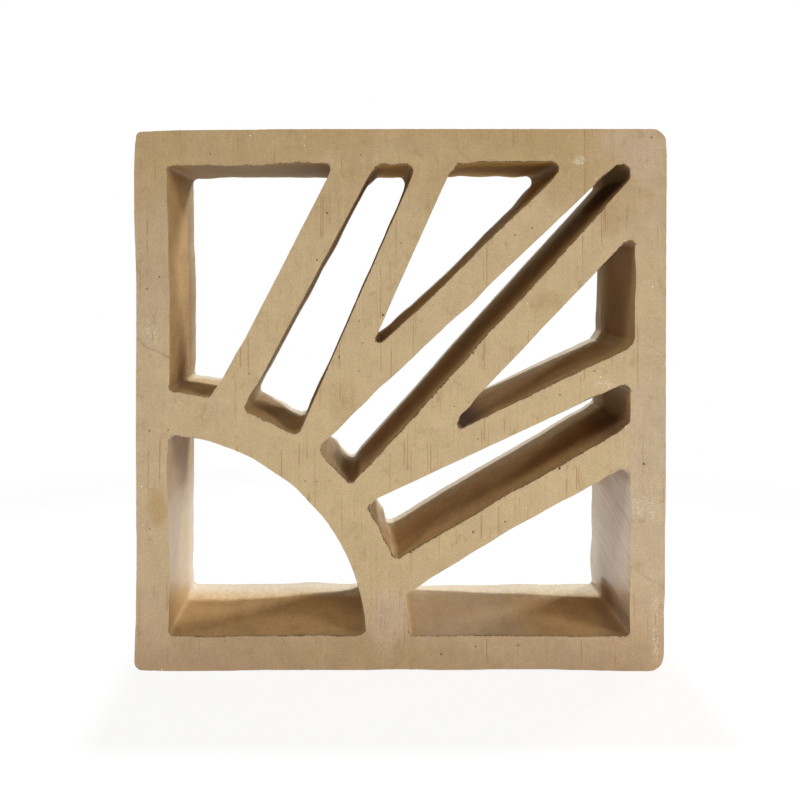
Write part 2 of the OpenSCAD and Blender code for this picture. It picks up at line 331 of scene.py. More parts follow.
# Where the fired outline has drawn away from its straight lines and true corners. Each bend
# drags the arris at a pixel of the photograph: move is in pixels and goes through the whole
# depth, back is added on the rear arris alone, and reach is in millimetres. A bend may have
# one of the two moves or both.
bends = {
    # upper left opening
    "cornerTopLeft": {"at": (169, 166), "move": (-1.6, 1.6), "back": (1.2, 0.0), "reach": 6},
    "sideHigh": {"at": (168, 186), "move": (-1.7, 0), "back": (1.3, 0), "reach": 8},
    "sideShoulder": {"at": (168, 207), "move": (-1.0, 0), "back": (0.9, 0), "reach": 8},
    "sideMiddle": {"at": (168, 262), "move": (-0.2, 0), "back": (1.6, 0), "reach": 9},
    "sideLower": {"at": (168, 287), "move": (1.3, 0), "back": (0.6, 0), "reach": 9},
    "sideDeep": {"at": (168, 314), "move": (1.6, 0), "back": (0.6, 0), "reach": 9.5},
    "sideDeepest": {"at": (168, 341), "move": (1.6, 0), "back": (0.6, 0), "reach": 9.5},
    "sideFoot": {"at": (168, 367), "move": (1.5, 0), "back": (0.7, 0), "reach": 9.5},
    "footLeft": {"at": (175, 394), "move": (0.6, -1.8), "back": (0, 2.4), "reach": 7},
    "footMiddle": {"at": (194, 396), "move": (0, -1.0), "back": (0, 1.5), "reach": 7},
    "footCorner": {"at": (214, 397), "move": (-3.8, -2.8), "back": (0, 0.8), "reach": 5},
    "footHip": {"at": (220, 388), "move": (-1.6, -0.8), "reach": 4},
    "barFoot": {"at": (226, 376), "move": (-1.6, -0.8), "reach": 7},
    "barHeel": {"at": (235, 358), "move": (-1.1, -0.6), "reach": 8},
    "topLeft": {"at": (184, 164), "move": (0, 1.7), "reach": 6},
    "topShoulder": {"at": (205, 164), "move": (0, 1.3), "back": (0, -1.0), "reach": 7},
    "topMiddle": {"at": (226, 164), "move": (0, 2.1), "back": (0, -1.9), "reach": 9},
    "topInner": {"at": (254, 164), "move": (0, 1.5), "back": (0, -1.4), "reach": 9},
    "topRight": {"at": (297, 164), "move": (0, -1.4), "back": (0, 1.9), "reach": 10},
    "topCorner": {"at": (322, 164), "move": (-0.4, -0.8), "back": (0, 1.4), "reach": 7},
    # slot beside it
    "slotFootLeft": {"at": (250, 410), "move": (-1.6, 2.2), "back": (0.3, 0.2), "reach": 5},
    "slotFootMiddle": {"at": (267, 418), "move": (-1.4, 2.8), "back": (-0.5, 1.2), "reach": 6.5},
    "slotFootRight": {"at": (285, 427), "move": (-0.9, 2.2), "back": (-1.0, 2.4), "reach": 6.5},
    "slotFootEnd": {"at": (298, 433), "back": (0.2, 1.8), "reach": 5},
    "slotHeel": {"at": (251, 396), "move": (-1.5, -0.8), "back": (1.0, 0.5), "reach": 6},
    "slotTopLeft": {"at": (374, 167), "move": (1.6, 1.6), "back": (0.8, 0.8), "reach": 4},
    "slotTop": {"at": (393, 164), "move": (0, 0.9), "reach": 6},
    "slotTopRight": {"at": (413, 168), "move": (-1.6, 0.8), "back": (-0.6, 0.2), "reach": 4},
    "slotLeftHigh": {"at": (333, 243), "back": (1.2, 0.6), "reach": 11},
    "slotLeftLow": {"at": (305, 296), "back": (0.8, 0.4), "reach": 11},
    "slotRightA": {"at": (401, 200), "back": (1.3, 0.6), "reach": 12},
    "slotRightB": {"at": (386, 235), "back": (1.3, 0.6), "reach": 12},
    "slotRightC": {"at": (371, 270), "back": (1.3, 0.6), "reach": 12},
    "slotRightD": {"at": (356, 305), "back": (1.3, 0.6), "reach": 12},
    "slotRightE": {"at": (341, 340), "back": (1.3, 0.6), "reach": 12},
    "slotRightF": {"at": (326, 375), "back": (1.3, 0.6), "reach": 12},
    # upper triangle
    "peakLeft": {"at": (451, 164), "move": (3.2, 2.6), "back": (0, 0.6), "reach": 3.6},
    "peakLeftTop": {"at": (466, 162), "move": (0, 2.0), "back": (0, -0.2), "reach": 5},
    "peakTop": {"at": (500, 162), "move": (0, -0.2), "back": (0, 1.8), "reach": 10},
    "peakTopRight": {"at": (538, 162), "move": (0, -0.6), "back": (0, 2.6), "reach": 9},
    "peakRight": {"at": (557, 176), "move": (-1.0, -1.0), "back": (1.0, 1.0), "reach": 4.5},
    "underHigh": {"at": (530, 201), "back": (2.2, 2.3), "reach": 11},
    "underShoulder": {"at": (508, 222), "move": (-0.2, -0.2), "back": (2.6, 2.7), "reach": 11},
    "underMiddle": {"at": (485, 243), "back": (3.4, 3.6), "reach": 11},
    "underWaist": {"at": (463, 265), "move": (0.7, 0.7), "back": (3.3, 3.5), "reach": 11},
    "underLower": {"at": (441, 286), "move": (1.3, 1.4), "back": (2.6, 2.7), "reach": 11},
    "underFoot": {"at": (418, 307), "move": (1.4, 1.5), "back": (2.2, 2.3), "reach": 11},
    "underTip": {"at": (394, 330), "move": (0.9, 0.9), "back": (2.2, 2.3), "reach": 11},
    # diagonal slot
    "diagonalEndTop": {"at": (629, 164), "move": (-1.0, 1.0), "reach": 3},
    "diagonalFootTip": {"at": (320, 450), "move": (1.9, -1.1), "reach": 3},
    "diagonalFootHigh": {"at": (328, 460), "move": (-1.3, 1.2), "back": (-1.9, 1.9), "reach": 5},
    "diagonalFootLow": {"at": (341, 474), "move": (-1.1, 1.1), "back": (-1.8, 1.8), "reach": 6},
    "diagonalFootHeel": {"at": (351, 482), "back": (0.3, 2.9), "reach": 5},
    "diagonalHeel": {"at": (362, 473), "back": (1.2, 1.1), "reach": 14},
    "diagonalLower": {"at": (386, 446), "back": (1.1, 1.0), "reach": 14},
    "diagonalWaist": {"at": (413, 417), "move": (0.2, 0.2), "back": (1.0, 0.9), "reach": 14},
    "diagonalMiddle": {"at": (440, 388), "move": (-0.2, -0.2), "back": (1.1, 1.0), "reach": 14},
    "diagonalUpper": {"at": (488, 335), "move": (-0.9, -0.9), "back": (0.9, 0.9), "reach": 14},
    "diagonalRoofLow": {"at": (337, 429), "move": (0.7, 0.7), "reach": 7},
    "diagonalRoofDip": {"at": (378, 390), "move": (-0.7, -0.7), "reach": 7},
    "diagonalRoofHigh": {"at": (472, 301), "move": (1.0, 1.1), "reach": 10},
    # right triangle
    "tipPoint": {"at": (456, 421), "move": (3.8, -0.4), "reach": 4},
    "tipRoof": {"at": (468, 406), "move": (1.4, 1.3), "reach": 5},
    "rightRoofLow": {"at": (545, 326), "move": (-0.6, -0.6), "reach": 14},
    "rightRoofHigh": {"at": (575, 296), "move": (-0.7, -0.7), "reach": 14},
    "rightRoofTop": {"at": (606, 265), "move": (-0.7, -0.7), "reach": 14},
    "rightCorner": {"at": (632, 243), "move": (0.9, -1.5), "reach": 4},
    "rightSide": {"at": (635, 274), "move": (1.1, 0), "back": (-0.3, 0), "reach": 10},
    "rightSideLow": {"at": (635, 330), "back": (-1.2, 0), "reach": 9},
    "rightFloorHigh": {"at": (612, 356), "move": (0.4, 0.8), "back": (0.8, 1.7), "reach": 13},
    "rightFloorEnd": {"at": (629, 348), "move": (0.4, 0.2), "back": (0, 1.4), "reach": 5},
    "rightFloorCorner": {"at": (635, 346), "move": (-2.0, -1.8), "reach": 3.2},
    "rightFloorMiddle": {"at": (580, 371), "back": (0.9, 1.8), "reach": 13},
    "rightFloorLow": {"at": (548, 387), "back": (0.9, 1.8), "reach": 13},
    "rightFloorTip": {"at": (514, 403), "back": (0.9, 1.8), "reach": 13},
    # lower slot
    "lowFootTop": {"at": (370, 502), "move": (1.6, 1.4), "back": (-1.4, 0.2), "reach": 2.6},
    "lowFootHigh": {"at": (374, 517), "move": (-1.2, 0.6), "back": (-0.8, 0.4), "reach": 5},
    "lowFootMiddle": {"at": (385, 537), "move": (-1.2, 0.6), "back": (-2.4, 1.2), "reach": 6},
    "lowFootCorner": {"at": (393, 555), "move": (0.3, -0.2), "back": (-3.3, 3.0), "reach": 4.5},
    "lowHeel": {"at": (410, 551), "back": (0.9, 1.7), "reach": 11},
    "lowWaist": {"at": (437, 536), "move": (-0.2, -0.4), "back": (0.6, 1.1), "reach": 11},
    "lowMiddle": {"at": (508, 496), "move": (-0.6, -1.2), "back": (0.6, 1.2), "reach": 13},
    "lowHigh": {"at": (600, 442), "back": (-0.5, -1.0), "reach": 14},
    "lowEnd": {"at": (629, 428), "move": (-1.6, -1.0), "reach": 4},
    # under the sun's arc
    "sunSideHigh": {"at": (168, 458), "move": (-1.3, 0), "back": (1.2, 0), "reach": 8},
    "sunSideShoulder": {"at": (168, 484), "move": (-1.5, 0), "back": (1.4, 0), "reach": 9},
    "sunSideMiddle": {"at": (168, 540), "move": (0.5, 0), "back": (-1.1, 0), "reach": 10},
    "sunSideLow": {"at": (168, 575), "move": (1.2, 0), "back": (-1.8, 0), "reach": 10},
    "sunSideFoot": {"at": (168, 606), "move": (0.6, 0), "back": (-1.8, 0), "reach": 9},
    "sunFloorLeft": {"at": (214, 636), "move": (0, 1.0), "back": (0, -0.7), "reach": 9},
    "sunFloorRight": {"at": (306, 636), "move": (0, -0.9), "back": (0, -1.0), "reach": 14},
    "sunFloorCorner": {"at": (362, 634), "move": (-0.8, -1.4), "reach": 5},
    "sunArcLeft": {"at": (206, 441), "move": (0.2, -0.9), "reach": 8},
    "sunArcHigh": {"at": (275, 472), "move": (-0.7, 0.9), "reach": 9},
    "sunArcMiddle": {"at": (310, 502), "move": (-0.6, 0.6), "reach": 9},
    # lower right opening
    "rayFoot": {"at": (412, 586), "move": (1.9, 3.3), "reach": 9},
    "rayFootHigh": {"at": (434, 574), "move": (0.9, 1.7), "reach": 9},
    "rayLow": {"at": (456, 561), "move": (0.7, 1.3), "reach": 9},
    "rayKnee": {"at": (478, 549), "move": (0.2, 0.3), "reach": 9},
    "rayMiddle": {"at": (513, 529), "move": (-0.4, -0.7), "reach": 9},
    "rayShoulder": {"at": (576, 493), "move": (0.5, 0.9), "reach": 8},
    "rayHigh": {"at": (598, 481), "move": (0.7, 1.4), "reach": 8},
    "rayTop": {"at": (618, 470), "move": (0.8, 1.6), "reach": 7},
    "lowerSideHigh": {"at": (631, 512), "move": (1.0, 0), "back": (-2.2, 0), "reach": 10},
    "lowerSideMiddle": {"at": (631, 555), "back": (-1.6, 0), "reach": 14},
    "lowerSideFoot": {"at": (631, 606), "move": (-0.9, 0), "back": (-2.2, 0), "reach": 14},
    "lowerFloorRight": {"at": (580, 636), "move": (0, 0.7), "reach": 12},
    "lowerFloorMiddle": {"at": (508, 636), "back": (0, 1.3), "reach": 14},
    "lowerFloorLeft": {"at": (474, 636), "move": (0, -0.5), "back": (0, 1.9), "reach": 13},
    "lowerFloorTip": {"at": (438, 636), "back": (0, 2.0), "reach": 13},
}


def dragArris(obj, depth, place, move, reach):
    # pulls the point of the net nearest to a pixel, and softly what lies round it
    bpy.ops.mesh.select_all(action="DESELECT")
    net = bmesh.from_edit_mesh(obj.data)
    x, z = onFace(*place)
    target = Vector((x * mm, depth, z * mm))
    nearest = min(net.verts, key=lambda vertex: (vertex.co - target).length_squared)
    nearest.select_set(True)
    bmesh.update_edit_mesh(obj.data)
    pixel = photo["mmPerPixel"] * mm
    bpy.ops.transform.translate(value=(move[0] * pixel, 0, -move[1] * pixel), use_proportional_edit=True,
                                proportional_edit_falloff="SMOOTH", proportional_size=reach * mm)


clay = frontSheet()
pickAll = lambda: bpy.ops.mesh.select_all(action="SELECT")
cutGrid(clay, slab["grid"], pickAll)
bpy.ops.mesh.select_mode(type="VERT")
for bend in bends.values():
    if "move" in bend:
        dragArris(clay, frontY, bend["at"], bend["move"], bend["reach"])
print("outline bent as fired")
bpy.ops.object.mode_set(mode="OBJECT")
clay.data.materials.clear()
for name in ("coarseNet", "fineNet"):
    clay.data.materials.append(bpy.data.materials.new(name))
for face in clay.data.polygons:
    middle = face.center / mm
    torn = tearAt(middle.x, middle.z, tearing["fineReach"])[0] >= tearing["fineFrom"]
    face.material_index = 1 if torn else 0
editMesh(clay)
bpy.ops.mesh.select_mode(type="FACE")
cutGrid(clay, tearing["fineGrid"], lambda: pickSlot(clay, 1))
bpy.ops.mesh.select_mode(type="VERT")
for onArris in (False, True):
    # points of the arris and points inside the face are welded apart, so the arris stays true
    bpy.ops.mesh.select_all(action="DESELECT")
    net = bmesh.from_edit_mesh(clay.data)
    for vertex in net.verts:
        vertex.select_set(vertex.is_boundary == onArris)
    bmesh.update_edit_mesh(clay.data)
    bpy.ops.mesh.remove_doubles(threshold=slab["netWeld"] * mm)
bpy.ops.mesh.select_mode(type="FACE")
print("net cut,", len(bmesh.from_edit_mesh(clay.data).faces), "faces")

markLines = [(onFace(mark["x"], mark["top"]), onFace(mark["x"], mark["bottom"])) for mark in dragMarks]
crackLines = []
for path in cracks.values():
    points = [onFace(*pixel) for pixel in path]
    crackLines += list(zip(points[:-1], points[1:]))
for a, b in markLines:
    score(clay, a, b, scoring["markHalf"])
for a, b in crackLines:
    score(clay, a, b, scoring["crackHalf"])
for pit in pits:
    cutPit(clay, *onFace(*pit["at"]), pit["radius"])
print("marks, cracks and pits cut,", len(bmesh.from_edit_mesh(clay.data).faces), "faces")

pickAll()
bpy.ops.mesh.extrude_region_move(TRANSFORM_OT_translate={"value": (0, backY - frontY, 0)})
pickAll()
bpy.ops.mesh.normals_make_consistent(inside=False)
bpy.ops.mesh.select_mode(type="VERT")
for bend in bends.values():
    if "back" in bend:
        dragArris(clay, backY, bend["at"], bend["back"], bend["reach"])
bpy.ops.mesh.select_mode(type="FACE")
for ring in slab["rings"]:
    pickAll()
    bpy.ops.mesh.bisect(plane_co=(0, frontY + ring * mm, 0), plane_no=(0, 1, 0))
tornWall = lambda face, middle: (
    abs(face.normal.y) < slab["wall"] and middle.y < frontY / mm + tearing["ringDepth"]
    and tearAt(middle.x, middle.z, tearing["findArris"])[0] >= tearing["fineFrom"])
for ring in tearing["rings"]:
    pickFaces(clay, tornWall)
    bpy.ops.mesh.bisect(plane_co=(0, frontY + ring * mm, 0), plane_no=(0, 1, 0))
onlyObject(clay)
print("slab extruded,", len(clay.data.polygons), "faces")

mesh = clay.data


def keepValues(mesh, name, domain, values):
    # one number for each point or face, for the material to read
    layer = mesh.attributes.new(name, "FLOAT", domain)
    layer.data.foreach_set("value", values)


def keepWeights(obj, name, values):
    # the same as a vertex group, for the modifiers
    group = obj.vertex_groups.new(name=name)
    for index, value in enumerate(values):
        if value > 0:
            group.add([index], value, "REPLACE")


cutFaces = [1.0 if abs(face.normal.y) > slab["flat"] else 0.0 for face in mesh.polygons]
faceVerts, wallVerts = set(), set()
for face in mesh.polygons:
    (faceVerts if cutFaces[face.index] else wallVerts).update(face.vertices)
arrisVerts = sorted(faceVerts & wallVerts)
arrisFinder = kdtree.KDTree(len(arrisVerts))
arrisTear = {}
for index in arrisVerts:
    place = mesh.vertices[index].co / mm
    arrisFinder.insert(place, index)
    arrisTear[index] = tearAt(place.x, place.z, tearing["findArris"])
arrisFinder.balance()

# How torn each point is: 1 on the worst of a torn arris, falling to 0 at the end of its reach
torn = [0.0] * len(mesh.vertices)
for vertex in mesh.vertices:
    place = vertex.co / mm
    if min(place.y - frontY / mm, backY / mm - place.y) > tearing["deepest"]:
        continue
    nearest, index, away = arrisFinder.find(place)
    weight, width = arrisTear[index] if place.y < 0 else (0.0, 0.0)  # the rear arrises are clean
    width *= tearing["wallReach"] if vertex.index in wallVerts else tearing["faceReach"]
    spot = Vector((place.x, place.y * tearing["raggedAlongDepth"], place.z))
    ragged = noise.noise(spot * tearing["raggedSize"])
    if weight > 0:
        wider = noise.noise(Vector((place.x, 0, place.z)) * tearing["widthSize"])
        width *= 1.0 + tearing["widthSwing"] * wider
        strength = weight * smoothStep(1.0, tearing["full"], away / width)
        strength *= tearing["strengthMean"] + tearing["strengthSwing"] * ragged
    else:
        strength = tearing["plainWeight"] * smoothStep(1.0, 0.0, away / tearing["plainWidth"])
        strength *= smoothStep(tearing["nickFrom"], tearing["nickTo"], ragged) * tearing["nickGain"]
    torn[vertex.index] = min(max(strength, 0.0), 1.0)
print("torn arrises weighted")

# Corners darkened by dirt and by painted shade: pixel of the front arris, reach in millimetres, strength
nooks = {
    "lowerRightCorner": {"at": (622, 626), "reach": 13.0, "strength": 0.6},
    "rightTriangleTip": {"at": (462, 422), "reach": 15.0, "strength": 1.0},
    "diagonalEnd": {"at": (618, 182), "reach": 22.0, "strength": 0.6},
    "diagonalFoot": {"at": (350, 478), "reach": 7.0, "strength": 0.6},
    "lowerSlotEnd": {"at": (612, 420), "reach": 17.0, "strength": 0.8},
    "upperTrianglePeak": {"at": (553, 168), "reach": 7.0, "strength": 0.3},
    "upperLeftFoot": {"at": (214, 392), "reach": 5.0, "strength": 0.6},
    "upperLeftCorner": {"at": (169, 392), "reach": 14.0, "strength": 0.3},
    "upperLeftTop": {"at": (169, 166), "reach": 10.0, "strength": 0.25},
    "sunFloorEnd": {"at": (362, 630), "reach": 16.0, "strength": 0.35},
    "slotFoot": {"at": (297, 424), "reach": 6.0, "strength": 0.3},
}
grimeAndShadeFade = {"full": 4.0, "gone": 26.0}  # from the front, measured from the block's middle plane
grimeAndShade = [0.0] * len(mesh.vertices)
for nook in nooks.values():
    x, z = onFace(*nook["at"])
    for index in wallVerts:
        place = mesh.vertices[index].co / mm
        away = math.hypot(place.x - x, place.z - z)
        if away < nook["reach"]:
            dirtAndShade = nook["strength"] * smoothStep(nook["reach"], 0.0, away)
            dirtAndShade *= smoothStep(grimeAndShadeFade["gone"], grimeAndShadeFade["full"], place.y)
            grimeAndShade[index] = max(grimeAndShade[index], dirtAndShade)

onFront = faceVerts - wallVerts
frontVerts = [v for v in mesh.vertices if v.index in onFront and v.co.y < frontY + slab["weld"] * mm]
marked = [0.0] * len(mesh.vertices)
for kind, lines in (("mark", markLines), ("crack", crackLines)):
    for vertex in frontVerts:
        x, z = vertex.co.x / mm, vertex.co.z / mm
        if any(segmentDistance(x, z, a, b) < scoring["onLine"] for a, b in lines):
            vertex.co.y += scoring[kind + "Depth"] * mm
            marked[vertex.index] = scoring[kind + "Tone"]
for pit in pits:
    x, z = onFace(*pit["at"])
    for vertex in frontVerts:
        away = math.hypot(vertex.co.x / mm - x, vertex.co.z / mm - z) / pit["radius"]
        if away < 1.0:
            vertex.co.y += pitShape["depth"] * (1.0 - pitShape["bowl"] * away ** 2) * mm
            marked[vertex.index] = smoothStep(1.0, pitShape["dark"], away)
print("marks, cracks and pits pushed in")
keepValues(mesh, "wireCut", "FACE", cutFaces)
keepValues(mesh, "torn", "POINT", torn)
keepValues(mesh, "mark", "POINT", marked)
keepValues(mesh, "grimeAndShade", "POINT", grimeAndShade)
keepWeights(clay, "torn", torn)

# Where the real outline stands back from a true square: place along the side, and how
# far in, both in millimetres.
outline = {
    "left": [
        (0, 0.1), (3, 0.25), (8, 0.35), (14, 0.55), (20, 0.75), (27, 0.8), (33, 0.9), (41, 1.0),
        (46, 1.05), (52, 0.9), (66, 0.85), (75, 0.8), (84, 0.75), (98, 0.8), (110, 0.85), (120, 0.9),
        (135, 0.9), (142, 0.8), (149, 0.6), (156, 0.35), (163, 0.15), (176, 0.05), (182, 0.2),
        (187, 0.4), (193.5, 0.9),
    ],
    "right": [
        (0, 1.3), (3, 1.3), (6, 1.05), (11, 0.95), (22, 1.0), (25, 0.8), (28, 0.63), (51, 0.62),
        (57, 0.38), (72, 0.34), (78, 0.28), (115, 0.3), (140, 0.2), (162, 0.1), (175, 0.0), (186, 0.0),
        (190, 0.3), (193.5, 0.7),
    ],
    "top": [
        (-95, 1.45), (-91, 1.1), (-86, 0.85), (-79, 0.6), (-66, 0.5), (-54, 0.42), (-46, 0.25),
        (-30, 0.18), (0, 0.15), (90, 0.15), (95, 0.6),
    ],
    "bottom": [
        (-95, 0.6), (-92, 0.4), (-88, 0.25), (-80, 0.12), (-62, 0.2), (-55, 0.4), (-48, 0.5),
        (-10, 0.5), (-4, 0.75), (6, 0.7), (14, 0.5), (24, 0.55), (35, 0.75), (54, 0.78), (60, 0.52),
        (66, 0.5), (73, 0.25), (80, 0.12), (88, 0.1), (92, 0.45), (95, 0.9),
    ],
}
sides = {
    "left": {"axis": "X", "along": 2, "edge": -blockHigh.x, "sign": 1},
    "right": {"axis": "X", "along": 2, "edge": blockHigh.x, "sign": -1},
    "top": {"axis": "Z", "along": 0, "edge": blockHigh.z, "sign": -1},
    "bottom": {"axis": "Z", "along": 0, "edge": 0.0, "sign": 1},
}
pullReach = 11.0  # the pull fades out over the rim's thickness
pullMost = 1.5


def between(points, place):
    # smooth value between the listed points
    for (p0, v0), (p1, v1) in zip(points[:-1], points[1:]):
        if place <= p1:
            return v0 + (v1 - v0) * smoothStep(p0, p1, place)
    return points[-1][1]


def displaced(obj, name, **settings):
    # one Displace modifier, set and applied
    modifier = obj.modifiers.new(name, "DISPLACE")
    for key, value in settings.items():
        setattr(modifier, key, value)
    onlyObject(obj)
    bpy.ops.object.modifier_apply(modifier=name)


for name, side in sides.items():
    acrossAxis = 0 if side["axis"] == "X" else 2
    pull = []
    for vertex in mesh.vertices:
        inward = abs(vertex.co[acrossAxis] - side["edge"]) / mm
        amount = between(outline[name], vertex.co[side["along"]] / mm) if inward < pullReach else 0.0
        pull.append(amount / pullMost * smoothStep(pullReach, 0.0, inward))
    keepWeights(clay, name, pull)
    displaced(clay, name, direction=side["axis"], vertex_group=name,
              strength=side["sign"] * pullMost * mm, mid_level=0.0)
print("outline pulled in")


def clouds(name, size, depth=2):
    texture = bpy.data.textures.new(name, "CLOUDS")
    texture.noise_scale = size * mm
    texture.noise_depth = depth
    return texture


uneven = {
    "planSize": 9.0,
    "planDepth": 0.2,
    "planStretch": 12.0,  # how much longer the waves are along the depth
    "planShift": 0.3,  # metres between the noise for the width and that for the height
    "still": 3.0,  # from the outer sides to here nothing wavers
    "wavy": 11.0,
    "faceSize": 7.0,
    "faceDepth": 0.14,
}
inside, faces = [], []
for vertex in mesh.vertices:
    fromLow, fromHigh = vertex.co - blockLow, blockHigh - vertex.co
    edge = min(fromLow.x, fromHigh.x, fromLow.z, fromHigh.z)
    inside.append(smoothStep(uneven["still"], uneven["wavy"], edge / mm))
    faces.append(0.0 if vertex.index in wallVerts else 1.0)
keepWeights(clay, "inside", inside)
keepWeights(clay, "faces", faces)
stretch = bpy.data.objects.new("stretch", None)
stretch.scale = (1, uneven["planStretch"], 1)
bpy.context.collection.objects.link(stretch)
bpy.context.view_layer.update()
for axis in ("X", "Z"):
    stretch.location = (0, 0, uneven["planShift"] if axis == "Z" else 0)
    bpy.context.view_layer.update()
    displaced(clay, "wander" + axis, direction=axis, vertex_group="inside",
              texture=clouds("plan", uneven["planSize"]),
              texture_coords="OBJECT", texture_coords_object=stretch,
              strength=uneven["planDepth"] * mm, mid_level=0.5)
displaced(clay, "faceUneven", direction="NORMAL", vertex_group="faces",
          texture=clouds("face", uneven["faceSize"]), texture_coords="LOCAL",
          strength=uneven["faceDepth"] * mm, mid_level=1.0)
displaced(clay, "tear", direction="NORMAL", vertex_group="torn",
          texture=clouds("grain", tearing["grain"], 3), texture_coords="LOCAL",
          strength=tearing["depth"] * 2.0 * mm, mid_level=1.0)
bpy.data.objects.remove(stretch)
for vertex in mesh.vertices:
    vertex.co = [min(max(vertex.co[axis], blockLow[axis]), blockHigh[axis]) for axis in range(3)]
print("walls, faces and torn arrises shaped")


def add(tree, kind, links=None, **settings):
    made = tree.nodes.new(kind)
    for key, value in settings.items():
        setattr(made, key, value)
    for key, value in (links or {}).items():
        if isinstance(value, bpy.types.NodeSocket):
            tree.links.new(value, made.inputs[key])
        else:
            made.inputs[key].default_value = value
    return made


# Colours are linear
finish = {
    "faceCentre": (0.555, 0.410, 0.233, 1),
    "faceEdge": (0.515, 0.378, 0.238, 1),
    "faceTop": (0.490, 0.336, 0.164, 1),
    "faceFoot": (0.470, 0.325, 0.196, 1),
    "faceBrown": (0.400, 0.265, 0.120, 1),
    "wall": (0.475, 0.302, 0.128, 1),
    "wallDark": (0.340, 0.203, 0.078, 1),
    "wallPaintedLight": (0.600, 0.430, 0.210, 1),
    "paintedRearLight": (0.620, 0.515, 0.385, 1),
    "roof": (0.520, 0.290, 0.080, 1),
    "paintedSheen": (0.680, 0.570, 0.500, 1),
    "tornDark": (0.090, 0.045, 0.020, 1),
    "tornLight": (0.380, 0.255, 0.130, 1),
    "drag": (0.360, 0.195, 0.080, 1),
    "pit": (0.120, 0.052, 0.022, 1),
    "grimeAndShade": (0.110, 0.046, 0.022, 1),
    "frost": (0.340, 0.290, 0.225, 1),
    "pink": (0.600, 0.450, 0.340, 1),
    "ash": (0.470, 0.365, 0.275, 1),
    "stain": (0.440, 0.290, 0.130, 1),
    "salt": (0.780, 0.740, 0.640, 1),
}
# Noise patterns: grains to the millimetre along width, depth and height, detail and roughness
patterns = {
    "cloudy": {"scale": (0.045, 0.045, 0.045), "detail": 3.0, "roughness": 0.5},
    "specks": {"scale": (1.5, 1.5, 1.5), "detail": 2.0, "roughness": 0.6},
    "mottle": {"scale": (0.13, 0.13, 0.13), "detail": 4.0, "roughness": 0.6},
    "patches": {"scale": (0.6, 0.6, 0.55), "detail": 4.0, "roughness": 0.65},
    "grain": {"scale": (2.1, 2.1, 2.0), "detail": 4.0, "roughness": 0.75},
    "brushed": {"scale": (1.9, 1.9, 0.05), "detail": 3.0, "roughness": 0.6},
    "brown": {"scale": (0.21, 0.21, 0.16), "detail": 5.0, "roughness": 0.7},
    "lines": {"scale": (1.7, 1.7, 0.022), "detail": 1.0, "roughness": 0.4},
    "broken": {"scale": (0.15, 0.15, 0.075), "detail": 2.0, "roughness": 0.5},
    "wallStreak": {"scale": (1.3, 0.02, 1.3), "detail": 3.0, "roughness": 0.6},
    "wallCloud": {"scale": (0.12, 0.07, 0.12), "detail": 4.0, "roughness": 0.65},
    "wallPatch": {"scale": (0.6, 0.35, 0.6), "detail": 4.0, "roughness": 0.65},
    "wallGrain": {"scale": (1.9, 1.5, 1.9), "detail": 3.0, "roughness": 0.7},
    "strokes": {"scale": (1.2, 0.025, 1.2), "detail": 3.0, "roughness": 0.6, "tilt": -10},
    "crumbs": {"scale": (2.0, 2.0, 2.0), "detail": 3.0, "roughness": 0.7},
}
# Scattered round spots: spacing and radius in millimetres, share of the cells with one, seed
spots = {
    "pores": {"spacing": 1.9, "radius": 0.17, "share": 0.16, "seed": 3.1},
    "redSpecks": {"spacing": 5.5, "radius": 0.34, "share": 0.30, "seed": 17.7},
    "flecks": {"spacing": 1.3, "radius": 0.15, "share": 0.22, "seed": 9.4},
    "salt": {"spacing": 6.5, "radius": 0.26, "share": 0.30, "seed": 41.3},
    "wallSalt": {"spacing": 2.6, "radius": 0.2, "share": 0.3, "seed": 23.9},
    "wallDust": {"spacing": 1.2, "radius": 0.17, "share": 0.35, "seed": 57.1},
}
spotShape = {
    "smallest": 0.5,  # these three are parts of the radius
    "largest": 1.3,
    "soft": 0.35,
    "shift": (1.0, 0.7, 1.3),  # how far the seed moves the cells along each axis
}
# How dark and how bright the patterns make faces and walls: two levels of the noise, two factors
faceShading = {
    "mottle": (0.3, 0.7, 0.955, 1.045),
    "patches": (0.3, 0.7, 0.96, 1.035),
    "grain": (0.3, 0.7, 0.82, 1.14),
    "brushed": (0.3, 0.7, 0.972, 1.022),
}
wallShading = {
    "wallStreak": (0.3, 0.7, 0.97, 1.03),
    "wallGrain": (0.28, 0.72, 0.80, 1.17),
    "wallPatch": (0.3, 0.7, 0.94, 1.05),
}
# The face's tone changes outwards from this place, in an oval with these half sizes, in millimetres
faceMiddle = {"x": 5.7, "z": 99.0, "wide": 95.2, "high": 97.1}
# Where each tone begins and where it is full, in millimetres; rim and stain are shares of the
# way from the middle to the edge, and the names that begin with facing are parts of the normal
zones = {
    "rim": (0.65, 1.25),
    "stain": (1.2, 0.3),
    "faceTop": (150.0, 200.0),
    "faceFoot": (34.0, 6.0),
    "paintedRearLightDepth": (11.0, 29.0),
    "facingPaintedRearLight": (-0.4, 0.15),
    "outerSide": (92.3, 93.3),
    "outerTop": (190.4, 191.4),
    "outerFoot": (2.5, 1.5),
    "facingDown": (-0.6, -0.9),
    "facingUp": (0.6, 0.9),
    "facingLeft": (-0.5, -0.9),
    "facingRight": (0.5, 0.9),
    "roofRight": (-25.0, -12.0),
    "leftRim": (-76.0, -80.0),
    "rightRim": (74.0, 79.0),
    "paintedLightAbove": (106.0, 130.0),
    "paintedLightBelow": (170.0, 152.0),
    "frostLeft": (3.0, 6.0),
    "frostRight": (58.0, 34.0),
    "frostLow": (22.0, 14.0),
    "frostFront": (28.0, 14.0),
    "paintedSheenLow": (78.0, 68.0),
    "dullAbove": (95.0, 105.0),
    "dullFront": (24.0, 8.0),
}
